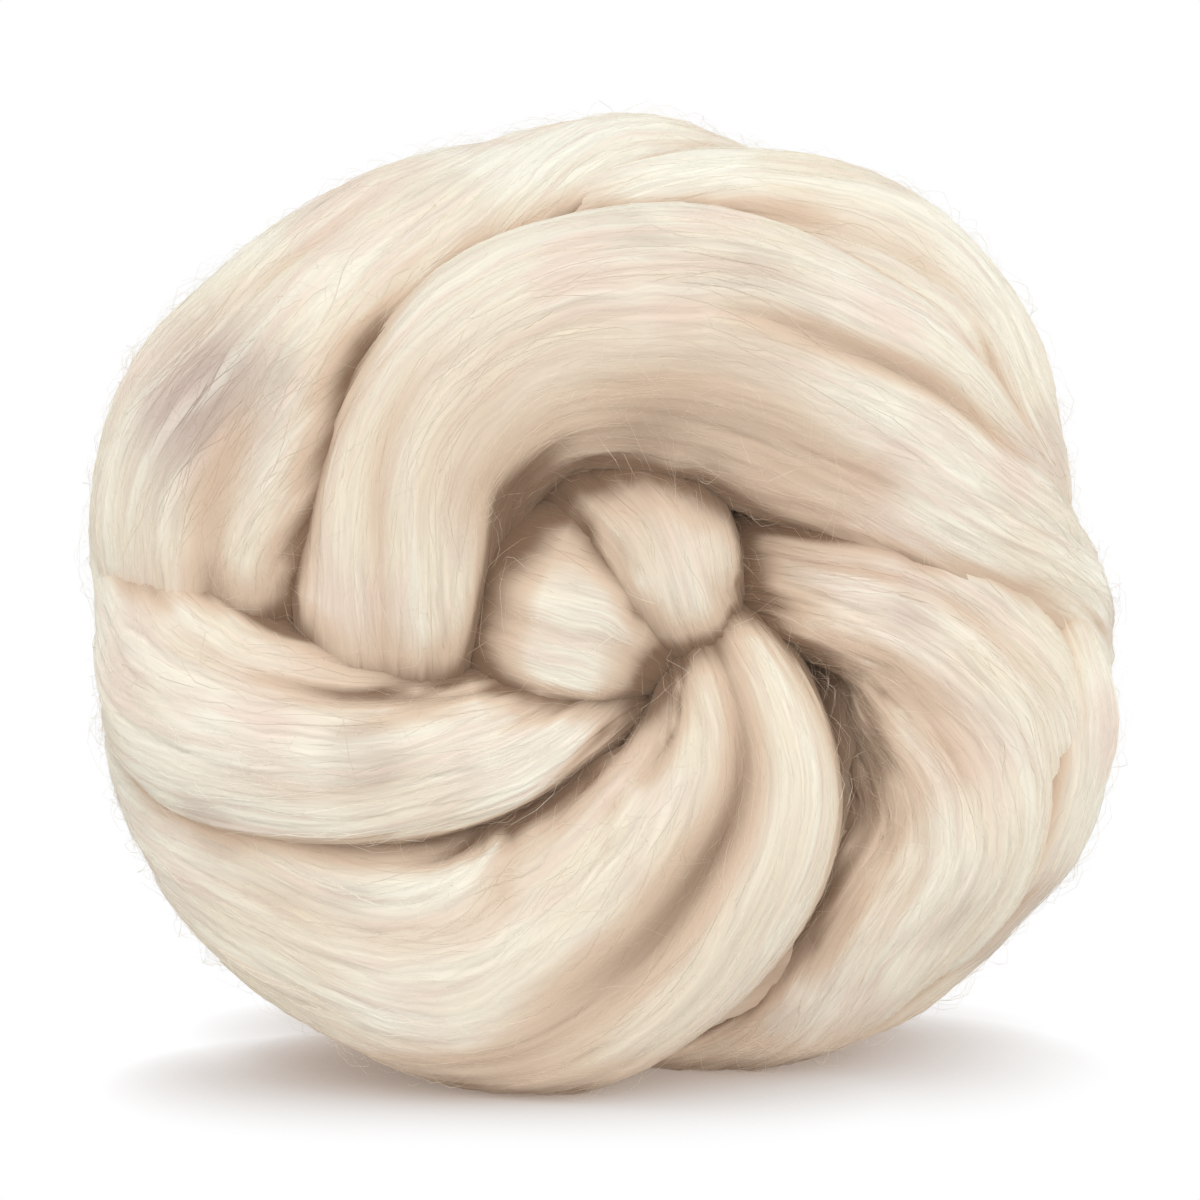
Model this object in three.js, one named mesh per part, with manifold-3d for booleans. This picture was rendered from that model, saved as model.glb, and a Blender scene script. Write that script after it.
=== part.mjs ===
// A nest of combed wool roving, standing on its edge.
//
// A thick, untwisted strand of combed wool is wound into a ring. Each turn comes over
// the rim from behind, fans across the front and tucks under the next one, so both
// faces show a pinwheel of soft lobes. The strand's last stretch is tucked into the
// middle of the front as a round knob.
//
// Millimetres, +Z up. The front faces -Y. The origin is the middle of the nest's box,
// on the flat spot that it rests on.

import * as THREE from 'three';
import { mergeVertices } from 'three/addons/utils/BufferGeometryUtils.js';
import Module from 'manifold-3d';

// ---------------------------------------------------------------- driving dimensions

const RING_HEIGHT = 76;           // the ring's axis above the surface
const RING_RADIUS = 50;           // from that axis to the middle of the wound strand
const HEART_HALF_WIDTH = 22;      // the wound mass under the turns, across the ring
const HEART_HALF_DEPTH = 23;      // and from front to back
const KNOB_HEART = [0, 8, 78];    // the knob's strand wraps over this point
const ROUNDNESS = 2.1;            // a turn's section: 2 is an ellipse, more is fuller
const END_SHARE = 0.03;           // the share of a turn in which each end rounds off
const BOX_MIDDLE = [-0.45, 1.1];   // the wound form's middle, moved onto the origin

const SECTIONS = 40;              // facets along a turn of the ring
const KNOB_SECTIONS = 22;         // and along a fold of the knob
const SIDES = 18;                 // facets around a turn
const HEART_SECTIONS = 40;
const HEART_SIDES = 14;
const SHORTEST_EDGE = 0.05;        // shorter edges, where turns cross, are closed up

const WOOL = 0xe6d6c2;            // undyed, a warm cream
const WOOL_ROUGHNESS = 0.95;

// ------------------------------------------------------------------------- the turns

// A row is one section of a turn: how far its middle lies right of the ring's axis,
// behind the ring's middle plane and above the surface, then the strand's half width
// and half thickness. A turn is widest where it crosses the front.
const COLUMNS = ['right', 'back', 'up', 'halfWidth', 'halfThickness'];

// From under the left side, up the left and over the top, then down the back.
const OUTER_LEFT = [
  [-36, 2, 24, 14, 9],
  [-53, -2, 46, 16, 11],
  [-58, -7, 67, 20, 13.5],
  [-60.5, -13, 91, 25, 17],
  [-48, -14, 112, 24.5, 17],
  [-25, -8, 131, 21, 14],
  [3, 3, 140, 20, 12],
  [28, 18, 122.5, 20, 12],
  [51, 27, 101, 21, 13],
  [45, 31, 77, 20, 12],
  [24, 28, 70, 15, 10],
  [3, 20, 75, 6, 6],
];

// From under the top, down the whole right side, to the bottom.
const OUTER_RIGHT = [
  [-36, -10, 112, 8, 8],
  [-10, -13, 129, 12, 11],
  [19, -12, 132.5, 17, 14],
  [44, -9, 122, 21, 16],
  [55.5, -5, 101, 20, 15.5],
  [61, 2, 77, 20, 13.5],
  [65, 2.5, 53, 24, 16],
  [54.5, 5, 34, 22, 15],
  [34, 7, 17, 17, 13],
  [4, 14, 12, 9, 7],
];

// The largest lobe: up from the left of the knob, over it, and out to the right.
const UPPER_SWEEP = [
  [-35, -8, 42, 7, 7],
  [-34, -17, 61, 12.5, 12],
  [-32, -24, 83, 17, 16],
  [-26, -26, 104, 18, 16],
  [-10, -26, 117, 19.5, 16],
  [14, -26, 118, 21.5, 16],
  [38, -22, 107, 20.5, 15.5],
  [55.5, -14, 91, 16.5, 15],
  [66.8, 3, 73.5, 15, 13.6],
  [66, 20, 58, 19, 13],
  [45, 31, 38, 20, 13],
  [16, 31, 38, 18, 13],
  [-3, 25, 54, 11, 9],
  [0, 18, 70, 5, 5],
];

// From the knob's foot out to the left, over the rim and up the back.
const LEFT_SWEEP = [
  [8, -6, 66, 5, 5],
  [1, -17, 63, 8, 8],
  [-11, -23.5, 59.4, 11, 11],
  [-25, -27, 57.3, 14, 13],
  [-43, -27.5, 58, 16.5, 15.5],
  [-59.5, -20, 63.5, 20, 15.5],
  [-66.6, -4.5, 75, 22, 14.3],
  [-67, 15, 93, 22, 14.5],
  [-49, 28, 112, 23, 13],
  [-20, 31, 120, 22, 12],
  [3, 27, 105, 16, 11],
  [9, 22, 89, 10, 8],
  [3, 17, 79, 5, 5],
];

// From the knob down across the bottom, then up the left behind the left sweep.
const LOWER_SWEEP = [
  [13, -8, 79, 6, 6],
  [18, -20.5, 70, 10, 11],
  [19.3, -25, 57.5, 16, 15],
  [15.3, -25, 45.2, 20.5, 17],
  [3, -22, 32.2, 23.5, 17.5],
  [-13.5, -18.5, 25.3, 26.2, 17],
  [-33.5, -17.5, 26.3, 23.2, 16],
  [-54.5, -11.5, 37.5, 22, 15],
  [-65.5, 5, 50, 19, 14.5],
  [-64, 21, 69, 17, 13],
  [-48, 31, 85, 17, 12],
  [-22, 28, 87, 13, 10],
  [-3, 19, 81, 5, 5],
];

// From the knob's right down the right side, under the nest and up the back.
const RIGHT_SWEEP = [
  [19, -9, 84, 10, 9],
  [32, -17, 83, 13, 12],
  [47, -18, 76.5, 16.5, 14.5],
  [55.3, -15, 61.5, 19.5, 16],
  [54.5, -12.5, 44.5, 19.5, 16],
  [44, -8.5, 28.5, 19.5, 15],
  [29, 2, 15, 17, 13],
  [4, 16, 12, 18, 12],
  [-25, 25, 26, 22, 14],
  [-43, 31, 44, 20, 13],
  [-38, 31, 62, 17, 12],
  [-20, 27, 70, 12, 9],
  [-4, 20, 76, 5, 5],
];

// The strand's end, tucked in: its lower fold, from the pinch at its right to the left.
const KNOB_LOW = [
  [10, -7, 68, 5, 5],
  [5, -16, 71, 9.5, 9.5],
  [-2, -22, 75.2, 15.5, 13.5],
  [-9.5, -22, 77.5, 17.5, 15],
  [-15.5, -15, 79.5, 16, 13.5],
  [-18, -5, 82.5, 13, 12.5],
  [-18, 6, 86, 9, 9],
];

// And its upper fold over that, from the pinch to the top.
const KNOB_HIGH = [
  [14, -4, 68, 6, 6],
  [12, -15, 73.5, 9, 9],
  [9.7, -21.5, 80, 11, 12.5],
  [6.8, -22.5, 88, 12.5, 14.5],
  [1.5, -18, 94.5, 14, 13.5],
  [-4, -9, 97.5, 15, 11.5],
  [-7, 3, 99, 11, 9],
];

const RING_TURNS = [OUTER_LEFT, OUTER_RIGHT, UPPER_SWEEP, LEFT_SWEEP, LOWER_SWEEP, RIGHT_SWEEP];
const KNOB_TURNS = [KNOB_LOW, KNOB_HIGH];

// Balls of tucked-in wool: one closes the ring's middle and one fills out the knob. A row
// is the ball's middle, how far it reaches all round and how far to its front and back.
const BALL_COLUMNS = ['right', 'back', 'up', 'reach', 'halfDepth'];
const BALLS = [
  [0, 6, 76, 30, 22],
  [-2, -13, 82, 19.5, 17],
];

// --------------------------------------------------------------------------- helpers

function named(row, columns = COLUMNS) {
  return Object.fromEntries(columns.map((column, i) => [column, row[i]]));
}

/** A smooth curve through points, evenly spaced in its own parameter. */
function curveThrough(points) {
  return new THREE.CatmullRomCurve3(points, false, 'catmullrom', 0.5);
}

/** Away from the nearest point of the ring's own circle: out of the wound strand. */
function outOfRing(point) {
  const fromAxis = new THREE.Vector3(point.x, 0, point.z - RING_HEIGHT);
  const onCircle = fromAxis.setLength(RING_RADIUS);
  onCircle.z += RING_HEIGHT;
  return point.clone().sub(onCircle);
}

/** Away from the point that the knob's strand wraps over. */
function outOfKnob(point) {
  return point.clone().sub(new THREE.Vector3(...KNOB_HEART));
}

/** The distance along a superellipse's half axis: |cos|^(2/n), with cos's sign. */
function fuller(cosine) {
  return Math.sign(cosine) * Math.abs(cosine) ** (2 / ROUNDNESS);
}

/** A closed grid of rings as an indexed geometry; the rings' ends may be poles. */
function closedSurface(rings, joinEnds) {
  const sides = Math.max(...rings.map((ring) => ring.length));
  const starts = [];
  const positions = [];
  for (const ring of rings) {
    starts.push(positions.length / 3);
    for (const point of ring) positions.push(point.x, point.y, point.z);
  }
  const at = (r, s) => starts[r] + (rings[r].length === 1 ? 0 : s % sides);
  const index = [];
  const spans = joinEnds ? rings.length : rings.length - 1;
  for (let r = 0; r < spans; r += 1) {
    const next = (r + 1) % rings.length;
    for (let s = 0; s < sides; s += 1) {
      if (rings[r].length > 1) index.push(at(r, s), at(r, s + 1), at(next, s));
      if (rings[next].length > 1) index.push(at(r, s + 1), at(next, s + 1), at(next, s));
    }
  }
  const geometry = new THREE.BufferGeometry();
  geometry.setAttribute('position', new THREE.Float32BufferAttribute(positions, 3));
  geometry.setIndex(index);
  return geometry;
}

/** One turn: a flattened round strand swept through its rows, its broad side outward. */
function turn(table, outward, sections) {
  const rows = table.map((row) => named(row));
  const path = curveThrough(rows.map((row) => new THREE.Vector3(row.right, row.back, row.up)));
  const girth = curveThrough(
    rows.map((row) => new THREE.Vector3(row.halfWidth, row.halfThickness, 0)),
  );
  const rings = [];
  for (let i = 0; i <= sections; i += 1) {
    const u = 0.5 - 0.5 * Math.cos((Math.PI * i) / sections);
    const middle = path.getPoint(u);
    if (i === 0 || i === sections) {
      rings.push([middle]);
      continue;
    }
    const along = path.getTangent(u);
    const face = outward(middle);
    face.addScaledVector(along, -face.dot(along)).normalize();
    const side = new THREE.Vector3().crossVectors(face, along);
    const nearEnd = Math.min(1, Math.min(u, 1 - u) / END_SHARE);
    const rounding = Math.sqrt(1 - (1 - nearEnd) ** 2);
    const { x: halfWidth, y: halfThickness } = girth.getPoint(u);
    const ring = [];
    for (let s = 0; s < SIDES; s += 1) {
      const turned = (2 * Math.PI * s) / SIDES;
      ring.push(
        middle
          .clone()
          .addScaledVector(side, halfWidth * rounding * fuller(Math.cos(turned)))
          .addScaledVector(face, halfThickness * rounding * fuller(Math.sin(turned))),
      );
    }
    rings.push(ring);
  }
  return closedSurface(rings, false);
}

/** The wound mass under the turns: a ring of elliptical section. */
function heart() {
  const rings = [];
  for (let i = 0; i < HEART_SECTIONS; i += 1) {
    const around = (2 * Math.PI * i) / HEART_SECTIONS;
    const ring = [];
    for (let s = 0; s < HEART_SIDES; s += 1) {
      const turned = (2 * Math.PI * s) / HEART_SIDES;
      const fromAxis = RING_RADIUS + HEART_HALF_WIDTH * Math.cos(turned);
      ring.push(
        new THREE.Vector3(
          fromAxis * Math.cos(around),
          HEART_HALF_DEPTH * Math.sin(turned),
          RING_HEIGHT + fromAxis * Math.sin(around),
        ),
      );
    }
    rings.push(ring);
  }
  return closedSurface(rings, true);
}

/** A flattened ball of tucked-in wool. */
function ball(row) {
  const { right, back, up, reach, halfDepth } = named(row, BALL_COLUMNS);
  return new THREE.SphereGeometry(1, SIDES, HEART_SIDES)
    .rotateX(Math.PI / 2)
    .scale(reach, halfDepth, reach)
    .translate(right, back, up);
}

/** Everything above the surface that the nest rests on. */
function aboveSurface() {
  const size = 4 * RING_RADIUS + 4 * HEART_HALF_WIDTH;
  return new THREE.BoxGeometry(size, size, size).translate(0, 0, size / 2);
}

// -------------------------------------------------------------------------- the solid

const wasm = await Module();
wasm.setup();

/** A geometry of closed surface as a solid, with only its positions and merged corners. */
function solidOf(geometry) {
  const bare = geometry.clone();
  bare.deleteAttribute('normal');
  bare.deleteAttribute('uv');
  const merged = mergeVertices(bare, 1e-4);
  return new wasm.Manifold(
    new wasm.Mesh({
      numProp: 3,
      vertProperties: merged.attributes.position.array,
      triVerts: new Uint32Array(merged.index.array),
    }),
  );
}

/** A solid's faces as a three.js geometry. */
function geometryOf(solid) {
  const mesh = solid.getMesh();
  const geometry = new THREE.BufferGeometry();
  geometry.setAttribute('position', new THREE.BufferAttribute(mesh.vertProperties, 3));
  geometry.setIndex(new THREE.BufferAttribute(mesh.triVerts, 1));
  geometry.computeVertexNormals();
  return geometry;
}

function woundForm() {
  const parts = [
    heart(),
    ...BALLS.map(ball),
    ...RING_TURNS.map((table) => turn(table, outOfRing, SECTIONS)),
    ...KNOB_TURNS.map((table) => turn(table, outOfKnob, KNOB_SECTIONS)),
  ];
  const wound = parts.map(solidOf).reduce((whole, part) => whole.add(part));
  const cut = wound.intersect(solidOf(aboveSurface())).simplify(SHORTEST_EDGE);
  // A gap that the turns close in on all sides is wool too: only the outer skin is kept.
  return cut.decompose().reduce((most, skin) => (skin.volume() > most.volume() ? skin : most));
}

const wool = new THREE.MeshStandardMaterial({
  name: 'wool',
  color: WOOL,
  roughness: WOOL_ROUGHNESS,
  metalness: 0,
});

const roving = new THREE.Mesh(geometryOf(woundForm()), wool);
roving.name = 'wound_roving';
roving.position.set(-BOX_MIDDLE[0], -BOX_MIDDLE[1], 0);

const nest = new THREE.Group();
nest.add(roving);

export default nest;
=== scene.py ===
"""A nest of undyed combed wool roving, standing on its edge.

The nest is one thick, untwisted strand of combed wool, wound into a ring so that each turn
comes over the rim, fans across the front and tucks under the next one. The strand's last
stretch is tucked into the middle as a knob. Lengths here are millimetres until a mesh is
made, which is in metres: +Z is up, and the front faces -Y.
"""

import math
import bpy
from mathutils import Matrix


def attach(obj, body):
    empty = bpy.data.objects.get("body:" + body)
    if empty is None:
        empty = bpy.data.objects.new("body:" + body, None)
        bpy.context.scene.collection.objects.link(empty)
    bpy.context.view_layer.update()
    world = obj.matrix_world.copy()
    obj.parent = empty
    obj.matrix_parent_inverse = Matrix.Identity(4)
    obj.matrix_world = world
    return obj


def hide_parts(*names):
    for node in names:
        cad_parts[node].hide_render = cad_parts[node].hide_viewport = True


bl_info = {
    "name": "Wool roving nest",
    "version": (1, 0, 0),
    "blender": (4, 5, 0),
    "location": "View3D > Sidebar > Roving",
    "description": "Makes a wound nest of combed wool roving, its fibres and its stage",
    "category": "Object",
}

import bpy
import numpy as np
from bpy.props import FloatProperty, FloatVectorProperty, IntProperty, PointerProperty
from mathutils import Vector

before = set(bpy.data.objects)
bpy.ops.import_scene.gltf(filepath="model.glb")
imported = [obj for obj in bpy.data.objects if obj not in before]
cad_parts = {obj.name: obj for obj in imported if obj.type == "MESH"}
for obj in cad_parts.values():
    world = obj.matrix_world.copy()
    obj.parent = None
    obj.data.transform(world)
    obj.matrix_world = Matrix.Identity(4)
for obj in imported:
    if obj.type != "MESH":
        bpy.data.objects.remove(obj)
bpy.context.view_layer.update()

MM = 0.001
NODE = "wound_roving"
BODY = "root"
BAKE_MAP = "OFBake"  # the map for the colours to be baked on
MAP_EDGE = 0.01  # the share of that map left free round a wound piece
CELL_EDGE = 0.08  # and of a fibre's own cell in it

# ------------------------------------------------------------------ the wound form's sizes

RING_HEIGHT = 76.0  # the ring's axis above the surface
RING_RADIUS = 50.0  # from that axis to the middle of the wound strand
HEART_HALF_WIDTH = 22.0  # the wound mass under the turns, across the ring
HEART_HALF_DEPTH = 23.0  # and from front to back
HEART_TURNS = 1.02  # how often it goes round the ring, so that its ends lie over each other
HEART_START = 0.25  # the share of a circle at which it starts: the top
KNOB_HEART = (0.0, 8.0, 78.0)  # the knob's strand wraps over this point
ROUNDNESS = 2.1  # a turn's section: 2 is an ellipse, more is fuller
ELLIPSE = 2.0  # the roundness of the heart's and the balls' sections
END_SHARE = 0.03  # the share of a turn in which each end rounds off
LEAST_SWELL = 0.01  # a ball's width at its foot and top, as a share of its middle's
FURROW_SHADE = 6.5  # a furrow this deep gets as much painted shade as the deepest hollow
KNOB = ("knob_low", "knob_high")  # the strand's tucked-in end, in the middle
UNDER = ("heart", "plug", "core")  # the wound pieces that the turns cover
COARSER = 2  # small or covered pieces have so many times fewer sections and points round
BOX_MIDDLE = (-0.45, 1.1, 0.0)  # the wound form's middle, moved onto the origin

# A row is one section of a turn: how far its middle lies right of the ring's axis, behind
# the ring's middle plane and above the surface, then the strand's half width and half
# thickness there.
PLACE = slice(0, 3)
HALF_WIDTH = 3
HALF_THICKNESS = 4

TURNS = {
    # From under the left side, up the left and over the top, then down the back.
    "outer_left": (
        (-36, 2, 24, 14, 9),
        (-53, -2, 46, 16, 11),
        (-58, -7, 67, 20, 13.5),
        (-60.5, -13, 91, 25, 17),
        (-48, -14, 112, 24.5, 17),
        (-25, -8, 131, 21, 14),
        (3, 3, 140, 20, 12),
        (28, 18, 122.5, 20, 12),
        (51, 27, 101, 21, 13),
        (45, 31, 77, 20, 12),
        (24, 28, 70, 15, 10),
        (3, 20, 75, 6, 6),
    ),
    # From under the top, down the whole right side, to the bottom.
    "outer_right": (
        (-36, -10, 112, 8, 8),
        (-10, -13, 129, 12, 11),
        (19, -12, 132.5, 17, 14),
        (44, -9, 122, 21, 16),
        (55.5, -5, 101, 20, 15.5),
        (61, 2, 77, 20, 13.5),
        (65, 2.5, 53, 24, 16),
        (54.5, 5, 34, 22, 15),
        (34, 7, 17, 17, 13),
        (4, 14, 12, 9, 7),
    ),
    # The largest lobe: up from the left of the knob, over it, and out to the right.
    "upper_sweep": (
        (-35, -8, 42, 7, 7),
        (-34, -17, 61, 12.5, 12),
        (-32, -24, 83, 17, 16),
        (-26, -26, 104, 18, 16),
        (-10, -26, 117, 19.5, 16),
        (14, -26, 118, 21.5, 16),
        (38, -22, 107, 20.5, 15.5),
        (55.5, -14, 91, 16.5, 15),
        (66.8, 3, 73.5, 15, 13.6),
        (66, 20, 58, 19, 13),
        (45, 31, 38, 20, 13),
        (16, 31, 38, 18, 13),
        (-3, 25, 54, 11, 9),
        (0, 18, 70, 5, 5),
    ),
    # From the knob's foot out to the left, over the rim and up the back.
    "left_sweep": (
        (8, -6, 66, 5, 5),
        (1, -17, 63, 8, 8),
        (-11, -23.5, 59.4, 11, 11),
        (-25, -27, 57.3, 14, 13),
        (-43, -27.5, 58, 16.5, 15.5),
        (-59.5, -20, 63.5, 20, 15.5),
        (-66.6, -4.5, 75, 22, 14.3),
        (-67, 15, 93, 22, 14.5),
        (-49, 28, 112, 23, 13),
        (-20, 31, 120, 22, 12),
        (3, 27, 105, 16, 11),
        (9, 22, 89, 10, 8),
        (3, 17, 79, 5, 5),
    ),
    # From the knob down across the bottom, then up the left behind the left sweep.
    "lower_sweep": (
        (13, -8, 79, 6, 6),
        (18, -20.5, 70, 10, 11),
        (19.3, -25, 57.5, 16, 15),
        (15.3, -25, 45.2, 20.5, 17),
        (3, -22, 32.2, 23.5, 17.5),
        (-13.5, -18.5, 25.3, 26.2, 17),
        (-33.5, -17.5, 26.3, 23.2, 16),
        (-54.5, -11.5, 37.5, 22, 15),
        (-65.5, 5, 50, 19, 14.5),
        (-64, 21, 69, 17, 13),
        (-48, 31, 85, 17, 12),
        (-22, 28, 87, 13, 10),
        (-3, 19, 81, 5, 5),
    ),
    # From the knob's right down the right side, under the nest and up the back.
    "right_sweep": (
        (19, -9, 84, 10, 9),
        (32, -17, 83, 13, 12),
        (47, -18, 76.5, 16.5, 14.5),
        (55.3, -15, 61.5, 19.5, 16),
        (54.5, -12.5, 44.5, 19.5, 16),
        (44, -8.5, 28.5, 19.5, 15),
        (29, 2, 15, 17, 13),
        (4, 16, 12, 18, 12),
        (-25, 25, 26, 22, 14),
        (-43, 31, 44, 20, 13),
        (-38, 31, 62, 17, 12),
        (-20, 27, 70, 12, 9),
        (-4, 20, 76, 5, 5),
    ),
    # The strand's end, tucked in: its lower fold, with fibres from side to side.
    "knob_low": (
        (10, -7, 68, 5, 5),
        (5, -16, 71, 9.5, 9.5),
        (-2, -22, 75.2, 15.5, 13.5),
        (-9.5, -22, 77.5, 17.5, 15),
        (-15.5, -15, 79.5, 16, 13.5),
        (-18, -5, 82.5, 13, 12.5),
        (-18, 6, 86, 9, 9),
    ),
    # And its upper fold over that, with fibres from bottom to top.
    "knob_high": (
        (14, -4, 68, 6, 6),
        (12, -15, 73.5, 9, 9),
        (9.7, -21.5, 80, 11, 12.5),
        (6.8, -22.5, 88, 12.5, 14.5),
        (1.5, -18, 94.5, 14, 13.5),
        (-4, -9, 97.5, 15, 11.5),
        (-7, 3, 99, 11, 9),
    ),
}

# Balls of tucked-in wool under the turns. A row is the ball's middle, then how far it reaches
# all round and how far from its middle to its front.
BALLS = {
    "plug": (0, 6, 76, 30, 22),
    "core": (-2, -13, 82, 19.5, 17),
}

# Where combing and winding have split a turn's face. A row is one furrow: it runs from a
# share of the turn's length to another, and from an angle across the turn to another (0 is
# the middle of the broad outer side), then its half width and its depth.
FURROWS = {
    "outer_left": ((0.22, 0.36, 41, 14, 2.8, 2.8), (0.30, 0.46, -30, -14, 2.4, 1.2)),
    "outer_right": ((0.20, 0.42, 4, 12, 2.6, 1.4),),
    "upper_sweep": (
        (0.38, 0.54, -27, -40, 1.7, 3.4),
        (0.10, 0.32, 34, 30, 3.4, 1.8),
        (0.32, 0.52, 12, 16, 3.2, 1.4),
        (0.12, 0.28, -40, -48, 2.2, 1.4),
    ),
    "left_sweep": ((0.22, 0.46, 22, 34, 3.0, 1.4), (0.26, 0.42, -30, -22, 2.4, 1.0)),
    "lower_sweep": (
        (0.055, 0.46, -42, -14, 3.4, 4.8),
        (0.09, 0.27, 14, 24, 3.0, 2.0),
        (0.30, 0.60, 26, 22, 3.4, 1.4),
        (0.30, 0.49, -40, -36, 2.8, 1.4),
    ),
    "right_sweep": ((0.12, 0.34, 20, 34, 4.0, 1.2), (0.10, 0.30, -28, -20, 2.6, 1.0)),
    "knob_low": ((0.10, 0.60, 8, -4, 2.6, 0.8), (0.20, 0.70, 46, 40, 2.4, 0.8)),
    "knob_high": ((0.20, 0.70, -30, -16, 2.6, 0.8), (0.15, 0.60, 22, 18, 2.4, 0.6)),
}


def linear(code):
    """A colour such as #F3E7D3 as linear red, green and blue between 0 and 1."""
    shares = [int(code[i : i + 2], 16) / 255 for i in (1, 3, 5)]
    return tuple(c / 12.92 if c <= 0.04045 else ((c + 0.055) / 1.055) ** 2.4 for c in shares)


def length_setting(name, about, size):
    """A setting for a length, its size here in millimetres."""
    return FloatProperty(name=name, description=about, default=size * MM, unit="LENGTH")


def number_setting(name, about, default):
    """A setting for a plain number, such as a light's strength."""
    return FloatProperty(name=name, description=about, default=default)


def count_setting(name, about, default, least=0):
    """A setting for how many."""
    return IntProperty(name=name, description=about, default=default, min=least)


def colour_setting(name, about, code):
    """A setting for a colour, its code here as linear takes it."""
    return FloatVectorProperty(
        name=name, description=about, subtype="COLOR", default=linear(code)
    )


class NestSizes(bpy.types.PropertyGroup):
    """How finely the wound turns are made and how deep their relief is."""

    sections: count_setting("Sections", "Rings of points along a turn", 124, 24)
    points_around: count_setting("Points around", "Points in each ring of a turn", 224, 24)
    lump_height: length_setting("Lump height", "How far a turn swells and thins along its length", 0.7)
    split_depth: length_setting("Split depth", "Depth of the splits between combed locks", 0.45)
    groove_depth: length_setting("Groove depth", "Depth of the grooves between bundles of fibres", 0.10)
    seed: count_setting("Seed", "Which wool this is", 7)


class FibreSizes(bpy.types.PropertyGroup):
    """The loose surface fibres, drawn as bundles thick enough to show."""

    laid_count: count_setting("Laid fibres", "Fibres that lie along the turns", 9200)
    laid_length: length_setting("Laid length", "Middle length of a fibre that shows", 21)
    laid_radius: length_setting("Laid radius", "Middle radius of a bundle of fibres", 0.06)
    stray_count: count_setting("Stray hairs", "Hairs that stand off the turns", 15500)
    stray_radius: length_setting("Stray radius", "Radius of a stray hair", 0.029)
    stray_reach: length_setting("Stray reach", "How far the longest stray hairs stand off", 3.0)


class WoolColours(bpy.types.PropertyGroup):
    """The undyed wool's own range of colour, and two tints for its painted shade."""

    cream: colour_setting("Cream", "The palest locks", "#FDFBEF")
    fawn: colour_setting("Fawn", "The wool's middle colour", "#F6EEDC")
    rose: colour_setting("Rose", "Pinkish locks", "#F2E0D3")
    grey: colour_setting("Grey", "Greyish locks", "#C9B6AB")
    # painted shade: warm where turns come together, deep where they hide the light between them
    warm: colour_setting("Warm", "Wool where two turns come together", "#E0C5AB")
    deep: colour_setting("Deep", "Wool seen deep between two turns", "#7A5739")


class StageSizes(bpy.types.PropertyGroup):
    """The floor, lights and camera round the nest."""

    distance: length_setting("Camera distance", "From the camera to the nest's middle", 640)
    elevation: FloatProperty(
        name="Camera elevation",
        description="How far above level the camera stands",
        default=math.radians(6.5),
        subtype="ANGLE",
    )
    lens: number_setting("Lens", "The camera's focal length in millimetres", 120)
    key_power: number_setting("Key light", "Strength of the soft light above the front", 0.91)
    front_power: number_setting("Front light", "Strength of the soft light at the camera", 0.70)
    sky: number_setting("Sky", "Strength of the light from above", 0.34)
    sides: number_setting("Sides", "Strength of the light from all round", 0.84)
    ground: number_setting("Ground", "Strength of the light from below", 0.42)
    ground_tint: colour_setting("Ground tint", "The light that comes back up", "#FFEEDE")
    # tints of the floor's painted shadow
    half_shadow: colour_setting("Half shadow", "The floor where the nest hides half its view", "#B8A89C")
    floor_shadow: colour_setting("Floor shadow", "The floor where the nest touches it", "#4A3424")


# ------------------------------------------------------------------------- curves and turns


def through(rows, shares):
    """Rows joined by a smooth curve, read at shares of its length from 0 to 1.

    Between rows b and c, with a before and d after, it is the cubic whose slope is half of
    c - a at b and half of d - b at c. The ends go on straight.
    """
    rows = np.asarray(rows, float)
    rows = np.vstack([2 * rows[0] - rows[1], rows, 2 * rows[-1] - rows[-2]])
    spans = len(rows) - 3
    place = np.clip(shares, 0, 1) * spans
    first = np.minimum(place.astype(int), spans - 1)
    f = (place - first)[:, None]
    a, b, c, d = rows[first], rows[first + 1], rows[first + 2], rows[first + 3]
    return 0.5 * (
        2 * b
        + (c - a) * f
        + (2 * a - 5 * b + 4 * c - d) * f**2
        + (3 * b - a - 3 * c + d) * f**3
    )


def unit(vectors):
    """Vectors at length one."""
    return vectors / np.maximum(np.linalg.norm(vectors, axis=-1, keepdims=True), 1e-9)


def fuller(wave, roundness):
    """A cosine or sine raised to 2 over the roundness, with its sign kept."""
    return np.sign(wave) * np.abs(wave) ** (2 / roundness)


def lines_of(middle, out, half_width, half_thickness, roundness=ROUNDNESS):
    """A middle line with the directions of its section.

    The face direction is the given way out, less its part along the line, and the side
    direction is along crossed with face.
    """
    along = unit(np.gradient(middle, axis=0))
    face = unit(out - (out * along).sum(1, keepdims=True) * along)
    return {
        "middle": middle - np.array(BOX_MIDDLE),
        "along": along,
        "face": face,
        "side": np.cross(along, face),
        "half_width": half_width,
        "half_thickness": half_thickness,
        "roundness": roundness,
    }


def turn_lines(name, shares):
    """A turn's lines: its face looks out of the ring, or for the knob out of its heart."""
    rows = through(TURNS[name], shares)
    middle = rows[:, PLACE]
    if name in KNOB:
        out = middle - np.array(KNOB_HEART)
    else:
        from_axis = middle - (0, 0, RING_HEIGHT)
        out = from_axis - unit(from_axis * (1, 0, 1)) * RING_RADIUS
    return lines_of(middle, out, rows[:, HALF_WIDTH], rows[:, HALF_THICKNESS])


def heart_lines(shares):
    """The wound mass under the turns: once round the ring's circle and a little over."""
    turned = (shares * HEART_TURNS + HEART_START) * 2 * math.pi
    from_axis = np.stack([np.cos(turned), 0 * turned, np.sin(turned)], -1)
    middle = from_axis * RING_RADIUS + (0, 0, RING_HEIGHT)
    ones = np.ones(len(shares))
    return lines_of(middle, from_axis, HEART_HALF_DEPTH * ones, HEART_HALF_WIDTH * ones, ELLIPSE)


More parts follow.
